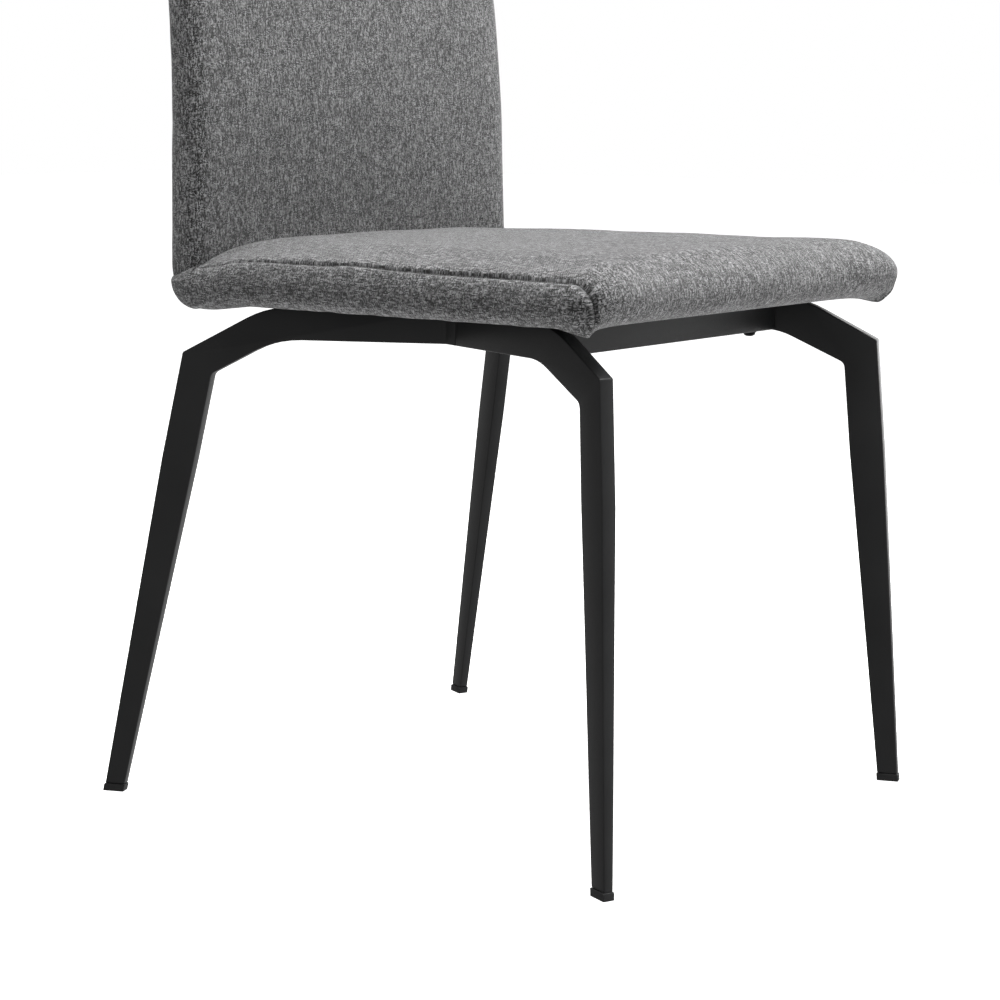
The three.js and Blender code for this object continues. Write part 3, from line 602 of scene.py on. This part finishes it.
def rear_panel(material):
    """The panel of fabric that closes the rear. It is sewn in along its edges, where it turns in."""
    surface = Surface()
    stations = rear_stations()
    layers = {"out": [], "in": []}
    for (y, z), normal in stations:
        half = float(rear_half(z))
        x = np.linspace(-half, half, 66)
        from_edge = half - np.abs(x)
        lift = 0.7 + 1.6 * smoothstep(from_edge, 0, 26) - TURN_IN * np.exp(-(from_edge / 2.2) ** 2)
        for name, depth in (("out", lift), ("in", np.full(len(x), -2.4))):
            layers[name].append(np.stack([x, y + normal[0] * depth, z + normal[1] * depth], axis=1))
    run = [0.0]
    for (a, _), (b, _) in zip(stations, stations[1:]):
        run.append(run[-1] + math.dist(a, b))
    outer = np.array(layers["out"])
    inner = np.array(layers["in"])
    top_drop = np.exp(-np.array(run) / 2.5) * TURN_IN
    outer[:, :, 1] -= top_drop[:, None]
    out_index, in_index = surface.add_points(outer), surface.add_points(inner)
    cloth = np.stack([outer[:, :, 0], np.broadcast_to(-np.array(run)[:, None], outer.shape[:2])], axis=2)
    surface.grid(out_index, cloth)
    surface.grid(in_index, cloth)
    for edge in (np.s_[:, 0], np.s_[:, -1], np.s_[0, :], np.s_[-1, :]):
        surface.grid(np.stack([out_index[edge], in_index[edge]]), np.stack([cloth[edge], cloth[edge]]))
    piece = surface.build("back_rear_panel", material)
    points = coords(piece)
    bumps = swell(points, 21, 120, 0.8) + swell(points, 22, 40, 0.3)
    outwards = normals(piece)
    from_side = rear_half(points[:, 2]) - np.abs(points[:, 0])
    free = smoothstep(from_side, 1, 18)
    pucker = waves(points[:, 2], 23, (19, 13, 31), 0.5) * np.exp(-((from_side - 6) / 6) ** 2)
    edge = np.minimum(from_side, (BACK_TOP - 9 - points[:, 2]) * 0.8)
    points += outwards * (bumps * free + pucker)[:, None]
    set_coords(piece, points)
    # Painted shade: the fabric's colour darkens along the panel's sewn edges and its top, by this stored
    # depth.
    paint_seam_shade(piece, np.exp(-(np.maximum(edge, 0) / 1.8) ** 2))
    subdivide(piece)
    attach(piece, "root")
    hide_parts("back_rear_cover")


# ------------------------------------------------------------------ underside


def dust_cover(material):
    """The thin lining stapled under the seat, with a folded hem and a little slack."""
    low, high = lining_low, lining_high
    inset = HALF_REAR - high[0]
    surface = Surface()
    rows = []
    shares = np.linspace(-1, 1, 67)
    for y in np.linspace(low[1], high[1], 64):
        half = seat_half(y) - inset - LINING_TUCK + waves(y, 31, (43, 27), 0.8)
        x = shares * half
        from_edge = np.minimum(half - np.abs(x), np.minimum(y - low[1], high[1] - y))
        hem = 0.35 * (1 - smoothstep(from_edge, 8, 9.5))
        sag = swell(np.stack([x, np.full(len(x), y), np.zeros(len(x))], axis=1), 32, 70, 0.25)
        z = low[2] + 0.25 - hem + sag * smoothstep(from_edge, 10, 40)
        rows.append(np.stack([x, y + waves(x, 33, (47, 29), 0.8) * (abs(y) > 170), z], axis=1))
    points = np.array(rows)
    index = surface.add_points(points)
    surface.grid(index, points[:, :, :2])
    piece = surface.build("seat_dust_cover", material)
    thick = piece.modifiers.new("thick", "SOLIDIFY")
    thick.thickness = 0.35 * MM
    thick.offset = 0
    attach(piece, "root")
    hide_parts("dust_cover")


def staples(material):
    """Wire staples along the lining's hem, as one piece."""
    low, high = lining_low, lining_high
    inset = HALF_REAR - high[0] + 9
    places = []
    for y in np.arange(low[1] + 18, high[1] - 10, 31):
        for side in (-1, 1):
            places.append((side * (seat_half(y) - inset), y, 90))
    for x in np.arange(-180, 181, 30):
        places += [(x, low[1] + 6, 0), (x, high[1] - 6, 0)]
    rng = np.random.default_rng(40)
    mesh = bmesh.new()
    for x, y, turn in places:
        add_staple(mesh, x, y, low[2] - 0.35, turn + rng.uniform(-14, 14))
    data = bpy.data.meshes.new("seat_staples")
    mesh.to_mesh(data)
    mesh.free()
    data.materials.append(material)
    piece = bpy.data.objects.new("seat_staples", data)
    bpy.context.scene.collection.objects.link(piece)
    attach(piece, "root")


def add_staple(mesh, x, y, z, turn):
    """A bar of flat wire with its two legs turned up into the board."""
    length, wide, thick, leg = 10.0, 1.1, 0.6, 2.4
    angle = math.radians(turn)
    for offset, size in (
        ((0, 0, 0), (length, wide, thick)),
        ((length / 2 - thick / 2, 0, leg / 2 + thick / 2 - 0.05), (thick, wide, leg)),
        ((-length / 2 + thick / 2, 0, leg / 2 + thick / 2 - 0.05), (thick, wide, leg)),
    ):
        made = bmesh.ops.create_cube(mesh, size=1)["verts"]
        for v in made:
            px, py, pz = (v.co[i] * size[i] + offset[i] for i in range(3))
            v.co = Vector((
                x + px * math.cos(angle) - py * math.sin(angle),
                y + px * math.sin(angle) + py * math.cos(angle),
                z + pz,
            )) * MM
        edges = {e for v in made for e in v.link_edges}
        bmesh.ops.bevel(mesh, geom=list(edges), offset=0.12 * MM, segments=2, affect="EDGES", profile=0.5)


# ------------------------------------------------------------------ materials


class Recipe:
    """A node material with short calls for its nodes."""

    def __init__(self, name, **values):
        self.material = bpy.data.materials.new(name)
        self.material.use_nodes = True
        self.tree = self.material.node_tree
        self.shader = self.tree.nodes["Principled BSDF"]
        for key, value in values.items():
            self.shader.inputs[key.replace("_", " ").title().replace("Ior", "IOR")].default_value = value

    def put(self, socket, value):
        if isinstance(value, bpy.types.NodeSocket):
            self.tree.links.new(value, socket)
        elif value is not None:
            socket.default_value = value

    def node(self, kind, settings=None, **inputs):
        made = self.tree.nodes.new(kind)
        for key, value in (settings or {}).items():
            setattr(made, key, value)
        for key, value in inputs.items():
            self.put(made.inputs[key.replace("_", " ").title()], value)
        return made

    def math(self, operation, a, b=None, c=None):
        made = self.tree.nodes.new("ShaderNodeMath")
        made.operation = operation
        for socket, value in zip(made.inputs, (a, b, c)):
            self.put(socket, value)
        return made.outputs[0]

    def place(self):
        return self.node("ShaderNodeTexCoord").outputs["Object"]

    def cloth(self):
        made = self.node("ShaderNodeUVMap", {"uv_map": "weave"})
        parts = self.node("ShaderNodeSeparateXYZ", Vector=made.outputs[0])
        return parts.outputs[0], parts.outputs[1]

    def vector(self, x, y, z=0.0):
        made = self.tree.nodes.new("ShaderNodeCombineXYZ")
        for socket, value in zip(made.inputs, (x, y, z)):
            self.put(socket, value)
        return made.outputs[0]

    def noise(self, vector, scale, detail=2.0, roughness=0.5):
        made = self.node("ShaderNodeTexNoise", Vector=vector, Scale=scale, Detail=detail, Roughness=roughness)
        return made.outputs["Fac"]

    def ramp(self, value, low, high, to_low=0.0, to_high=1.0):
        made = self.tree.nodes.new("ShaderNodeMapRange")
        for socket, number in zip(made.inputs, (value, low, high, to_low, to_high)):
            self.put(socket, number)
        return made.outputs[0]

    def mix(self, share, a, b):
        made = self.tree.nodes.new("ShaderNodeMix")
        made.data_type = "RGBA"
        self.put(made.inputs[0], share)
        for socket, colour in ((made.inputs[6], a), (made.inputs[7], b)):
            self.put(socket, colour if isinstance(colour, bpy.types.NodeSocket) else (*colour, 1))
        return made.outputs[2]

    def colour(self, value):
        self.put(self.shader.inputs["Base Color"], value)

    def roughness(self, value):
        self.put(self.shader.inputs["Roughness"], value)

    def bump(self, height, distance, strength=1.0):
        made = self.node("ShaderNodeBump", Strength=strength, Distance=distance, Height=height)
        self.tree.links.new(made.outputs[0], self.shader.inputs["Normal"])


YARN_PITCH = 0.0009  # in metres, as the weave's coordinates are
TONES = (0.005, 0.295)  # the reflectance of the darkest and the lightest yarn


def melange_weave():
    """Slubby yarns of mixed greys in a plain weave. The yarns along the cloth show most."""
    fabric = Recipe("upholstery_melange", roughness=0.92, sheen_weight=0.25, sheen_roughness=0.5)
    fabric.shader.inputs["Specular IOR Level"].default_value = 0.25
    u, v = fabric.cloth()
    wobble = fabric.noise(fabric.vector(u, v), 26, 1)
    wobble = fabric.math("MULTIPLY", fabric.math("SUBTRACT", wobble, 0.5), 0.0004)
    warp = fabric.math("DIVIDE", fabric.math("ADD", u, wobble), YARN_PITCH)
    weft = fabric.math("DIVIDE", fabric.math("ADD", v, wobble), YARN_PITCH)
    warp_id, weft_id = fabric.math("FLOOR", warp), fabric.math("FLOOR", weft)
    warp_tone = fabric.noise(
        fabric.vector(fabric.math("MULTIPLY", warp_id, 7.13), fabric.math("MULTIPLY", v, 120)), 1, 2, 0.7)
    weft_tone = fabric.noise(
        fabric.vector(fabric.math("MULTIPLY", u, 210), fabric.math("MULTIPLY", weft_id, 5.71), 9.0),
        1, 2, 0.7)
    fleck = fabric.node("ShaderNodeTexWhiteNoise", Vector=fabric.vector(warp_id, weft_id)).outputs["Value"]
    checker = fabric.math("PINGPONG", fabric.math("ADD", warp_id, weft_id), 1)
    clouds = fabric.noise(fabric.vector(u, fabric.math("MULTIPLY", v, 0.4)), 60, 3, 0.6)
    parts = [
        (fabric.ramp(warp_tone, 0.32, 0.68), 0.42), (fabric.ramp(weft_tone, 0.32, 0.68), 0.25),
        (fleck, 0.33), (fabric.ramp(clouds, 0.3, 0.7, -0.5, 0.5), 0.05),
    ]
    tone = 0.0
    for value, share in parts:
        tone = fabric.math("MULTIPLY_ADD", value, share, tone)
    round_warp = fabric.math("SINE", fabric.math("MULTIPLY", fabric.math("FRACT", warp), math.pi))
    round_weft = fabric.math("SINE", fabric.math("MULTIPLY", fabric.math("FRACT", weft), math.pi))
    height = fabric.math(
        "ADD", fabric.math("MULTIPLY", round_warp, fabric.math("SUBTRACT", 1.0, checker)),
        fabric.math("MULTIPLY", round_weft, checker))
    shade = fabric.ramp(height, 0, 0.6, 0.6, 1.0)
    light = fabric.math("POWER", fabric.ramp(tone, 0.32, 0.78), 1.5)
    level = fabric.math("MULTIPLY", fabric.ramp(light, 0, 1, *TONES), shade)
    # Painted shade in the seams: the colour darkens where a point lies deep in a seam.
    seam_shade = fabric.node("ShaderNodeAttribute", {"attribute_name": "seam_shade"}).outputs["Fac"]
    level = fabric.math("MULTIPLY", level, fabric.ramp(seam_shade, 0.45, 1, 1.0, 0.25))
    fabric.colour(fabric.mix(level, (0, 0, 0), (1.0, 1.0, 1.012)))
    fuzz = fabric.noise(fabric.place(), 2600, 2)
    fabric.bump(fabric.math("ADD", height, fabric.math("MULTIPLY", fuzz, 0.5)), 0.00028, 0.8)
    return fabric.material


def powder_coat():
    coat = Recipe("frame_powder_coat_black", specular_ior_level=0.45)
    place = coat.place()
    grain = coat.noise(place, 1500, 2, 0.6)
    blotch = coat.noise(place, 14, 3)
    coat.colour(coat.mix(coat.ramp(blotch, 0.3, 0.7), (0.0105, 0.0107, 0.0112), (0.0145, 0.0147, 0.0152)))
    fine = coat.ramp(grain, 0.3, 0.7, 0.36, 0.50)
    coat.roughness(coat.math("ADD", fine, coat.ramp(blotch, 0.3, 0.7, -0.03, 0.03)))
    coat.bump(grain, 0.00006, 0.55)
    return coat.material


def cap_plastic():
    plastic = Recipe("foot_plastic_black", specular_ior_level=0.4)
    place = plastic.place()
    grain = plastic.noise(place, 1100, 2)
    plastic.colour(plastic.mix(grain, (0.009, 0.009, 0.009), (0.018, 0.018, 0.019)))
    plastic.roughness(plastic.ramp(grain, 0.3, 0.7, 0.5, 0.68))
    plastic.bump(grain, 0.0001, 0.6)
    return plastic.material


def steel(name, dark, light, low, high):
    metal = Recipe(name, metallic=1.0)
    place = metal.place()
    scratch = metal.noise(place, 420, 4, 0.7)
    cloud = metal.noise(place, 60, 3)
    metal.colour(metal.mix(metal.ramp(cloud, 0.3, 0.7), dark, light))
    metal.roughness(metal.ramp(scratch, 0.3, 0.7, low, high))
    metal.bump(scratch, 0.00005, 0.5)
    return metal.material


def plywood():
    wood = Recipe("plywood_birch", specular_ior_level=0.3)
    place = wood.place()
    parts = wood.node("ShaderNodeSeparateXYZ", Vector=place)
    x, y, z = parts.outputs
    stretched = wood.vector(
        wood.math("MULTIPLY", x, 60), wood.math("MULTIPLY", y, 8), wood.math("MULTIPLY", z, 8))
    grain = wood.noise(stretched, 3.0, 5, 0.6)
    wood.colour(wood.mix(wood.ramp(grain, 0.3, 0.7), (0.42, 0.27, 0.14), (0.62, 0.46, 0.28)))
    wood.roughness(wood.ramp(grain, 0.3, 0.7, 0.6, 0.8))
    wood.bump(grain, 0.0003, 0.5)
    return wood.material


def lining():
    cloth = Recipe("lining_nonwoven_black", sheen_weight=0.1)
    place = cloth.place()
    fibres = cloth.noise(place, 900, 4, 0.75)
    dots = cloth.node("ShaderNodeTexVoronoi", Vector=place, Scale=420.0).outputs["Distance"]
    cloth.colour(cloth.mix(cloth.ramp(fibres, 0.3, 0.7), (0.006, 0.006, 0.006), (0.022, 0.022, 0.023)))
    cloth.roughness(cloth.ramp(fibres, 0.3, 0.7, 0.8, 0.95))
    cloth.bump(cloth.math("ADD", fibres, dots), 0.0003, 0.7)
    return cloth.material


# ------------------------------------------------------------------ CAD pieces


def rounding_group():
    """Geometry nodes that shade faces smooth except across sharp edges."""
    tree = bpy.data.node_groups.new("smooth_shading", "GeometryNodeTree")
    tree.interface.new_socket("Geometry", in_out="INPUT", socket_type="NodeSocketGeometry")
    tree.interface.new_socket("Geometry", in_out="OUTPUT", socket_type="NodeSocketGeometry")
    enter, leave = tree.nodes.new("NodeGroupInput"), tree.nodes.new("NodeGroupOutput")
    drop = tree.nodes.new("GeometryNodeRemoveAttribute")
    drop.inputs["Name"].default_value = "custom_normal"
    faces = tree.nodes.new("GeometryNodeSetShadeSmooth")
    edges = tree.nodes.new("GeometryNodeSetShadeSmooth")
    edges.domain = "EDGE"
    edges.inputs["Shade Smooth"].default_value = False
    angle = tree.nodes.new("GeometryNodeInputMeshEdgeAngle")
    sharp = tree.nodes.new("FunctionNodeCompare")
    sharp.inputs[1].default_value = math.radians(32)
    tree.links.new(angle.outputs[0], sharp.inputs[0])
    tree.links.new(sharp.outputs[0], edges.inputs["Selection"])
    tree.links.new(enter.outputs[0], drop.inputs[0])
    tree.links.new(drop.outputs[0], faces.inputs["Geometry"])
    tree.links.new(faces.outputs[0], edges.inputs["Geometry"])
    tree.links.new(edges.outputs[0], leave.inputs[0])
    return tree


def soften_edges(piece, group, width):
    """Joins the facets, rounds the sharp edges and shades the result smooth. The mesh stays as it is."""
    piece.modifiers.new("weld", "WELD").merge_threshold = 0.01 * MM
    flat = piece.modifiers.new("flat", "DECIMATE")
    flat.decimate_type = "DISSOLVE"
    flat.angle_limit = math.radians(0.6)
    if width:
        bevel = piece.modifiers.new("round", "BEVEL")
        bevel.width = width * MM
        bevel.segments = 3
        bevel.limit_method = "ANGLE"
        bevel.angle_limit = math.radians(34)
        bevel.use_clamp_overlap = False
        bevel.miter_outer = "MITER_ARC"
    piece.modifiers.new("shade", "NODES").node_group = group


def finish_cad():
    group = rounding_group()
    coat, plastic = powder_coat(), cap_plastic()
    black = steel("fastener_black_oxide", (0.02, 0.02, 0.021), (0.05, 0.05, 0.052), 0.32, 0.5)
    zinc = steel("zinc_plated_steel", (0.5, 0.51, 0.53), (0.68, 0.69, 0.7), 0.25, 0.42)
    wood = plywood()
    looks = {
        "leg": (coat, 1.1, "leg"), "front_rail": (coat, 1.1, "rail"), "rear_rail": (coat, 1.1, "rail"),
        "foot_cap": (plastic, 0.5, "cap"), "seat_bolt": (black, 0.25, "bolt"),
        "bolt_washer": (black, 0.2, "bolt"), "tee_nut": (zinc, 0.2, "zinc"),
        "back_bracket": (zinc, 0.3, "zinc"), "bracket_screw": (zinc, 0.2, "zinc"),
        "seat_board": (wood, 0.8, "wood"), "back_board": (wood, 0.8, "wood"),
    }
    for name, piece in NODES.items():
        for start, (material, width, slot) in looks.items():
            if name.startswith(start):
                piece.data.materials[0] = material
                soften_edges(piece, group, width)
    return zinc


# ------------------------------------------------------------------ studio


def floor_material():
    pale = Recipe("floor_pale", roughness=0.9, emission_strength=0.97)
    mottle = pale.noise(pale.place(), 3, 4)
    glow = pale.mix(mottle, (0.98, 0.98, 0.98), (1.0, 1.0, 1.0))
    pale.colour(pale.mix(mottle, (0.70, 0.70, 0.70), (0.74, 0.74, 0.74)))
    pale.put(pale.shader.inputs["Emission Color"], glow)
    return pale.material


def floor():
    mesh = bpy.data.meshes.new("floor")
    reach = 14.0
    corners = [(-reach, -reach, 0), (reach, -reach, 0), (reach, reach, 0), (-reach, reach, 0)]
    mesh.from_pydata(corners, [], [(0, 1, 2, 3)])
    mesh.materials.append(floor_material())
    piece = bpy.data.objects.new("floor", mesh)
    piece.location.z = -0.0002
    piece.visible_diffuse = False
    piece.visible_glossy = False
    bpy.context.scene.collection.objects.link(piece)


def area_light(name, place, aim, size, power):
    lamp = bpy.data.lights.new(name, "AREA")
    lamp.shape = "RECTANGLE"
    lamp.size, lamp.size_y = size
    lamp.energy = power
    piece = bpy.data.objects.new(name, lamp)
    piece.location = place
    piece.rotation_euler = (Vector(aim) - Vector(place)).to_track_quat("-Z", "Y").to_euler()
    bpy.context.scene.collection.objects.link(piece)
    return piece


def lights():
    area_light("key", (1.5, -2.0, 2.1), (0, 0, 0.4), (1.6, 1.6), 12)
    area_light("top", (0.2, -0.2, 2.6), (0, -0.1, 0.4), (2.4, 2.4), 178)
    bounce = area_light("bounce", (0.8, -1.5, 0.1), (0, -0.25, 0.45), (1.6, 0.5), 20)
    bounce.visible_glossy = False
    area_light("right", (2.6, 0.1, 0.9), (0, 0, 0.4), (1.2, 2.2), 20)


# Each is a range of a direction's height or side, and the light's strength at its two ends.
FILL_BY_HEIGHT = (-0.9, 0.1, 2.8, 0.25)
GLOSS_BY_SIDE = (-0.1, 0.95, 0.34, 1.15)


def ranged_background(tree, value, numbers):
    """A background whose strength follows a value."""
    scale = tree.nodes.new("ShaderNodeMapRange")
    for socket, number in zip(scale.inputs[1:5], numbers):
        socket.default_value = number
    made = tree.nodes.new("ShaderNodeBackground")
    tree.links.new(value, scale.inputs[0])
    tree.links.new(scale.outputs[0], made.inputs[1])
    return made.outputs[0]


def either(tree, share, first, second):
    made = tree.nodes.new("ShaderNodeMixShader")
    tree.links.new(share, made.inputs[0])
    tree.links.new(first, made.inputs[1])
    tree.links.new(second, made.inputs[2])
    return made.outputs[0]


def world_light():
    """White where the camera sees it, a fill that is strongest from below, and reflections that are
    brightest from the right."""
    world = bpy.data.worlds.new("studio")
    world.use_nodes = True
    tree = world.node_tree
    tree.nodes.clear()
    path = tree.nodes.new("ShaderNodeLightPath")
    direction = tree.nodes.new("ShaderNodeTexCoord")
    parts = tree.nodes.new("ShaderNodeSeparateXYZ")
    tree.links.new(direction.outputs["Generated"], parts.inputs[0])
    seen = tree.nodes.new("ShaderNodeBackground")
    seen.inputs[0].default_value = (1, 1, 1, 1)
    seen.inputs[1].default_value = 1.0
    fill = ranged_background(tree, parts.outputs[2], FILL_BY_HEIGHT)
    mirrored = ranged_background(tree, parts.outputs[0], GLOSS_BY_SIDE)
    lit = either(tree, path.outputs["Is Glossy Ray"], fill, mirrored)
    shown = either(tree, path.outputs["Is Camera Ray"], lit, seen.outputs[0])
    tree.links.new(shown, tree.nodes.new("ShaderNodeOutputWorld").inputs[0])
    bpy.context.scene.world = world


CAMERA_PLACE = (-1.72299, -1.36182, 0.60882)
CAMERA_DOWN = 9.103  # degrees below level
CAMERA_TURN = -51.390  # degrees about +Z, from facing +Y
CAMERA_LENS = 90.63


def camera():
    data = bpy.data.cameras.new("camera")
    data.sensor_width = 36
    data.lens = CAMERA_LENS
    data.clip_start, data.clip_end = 0.05, 60
    piece = bpy.data.objects.new("camera", data)
    piece.location = CAMERA_PLACE
    piece.rotation_euler = (math.radians(90 - CAMERA_DOWN), 0, math.radians(CAMERA_TURN))
    bpy.context.scene.collection.objects.link(piece)
    bpy.context.scene.camera = piece


bpy.context.scene.view_settings.view_transform = "Standard"
camera()
lights()
world_light()
floor()
zinc = finish_cad()
weave = melange_weave()
seat_cushion(weave)
back_cushion(weave)
rear_panel(weave)
dust_cover(lining())
staples(zinc)
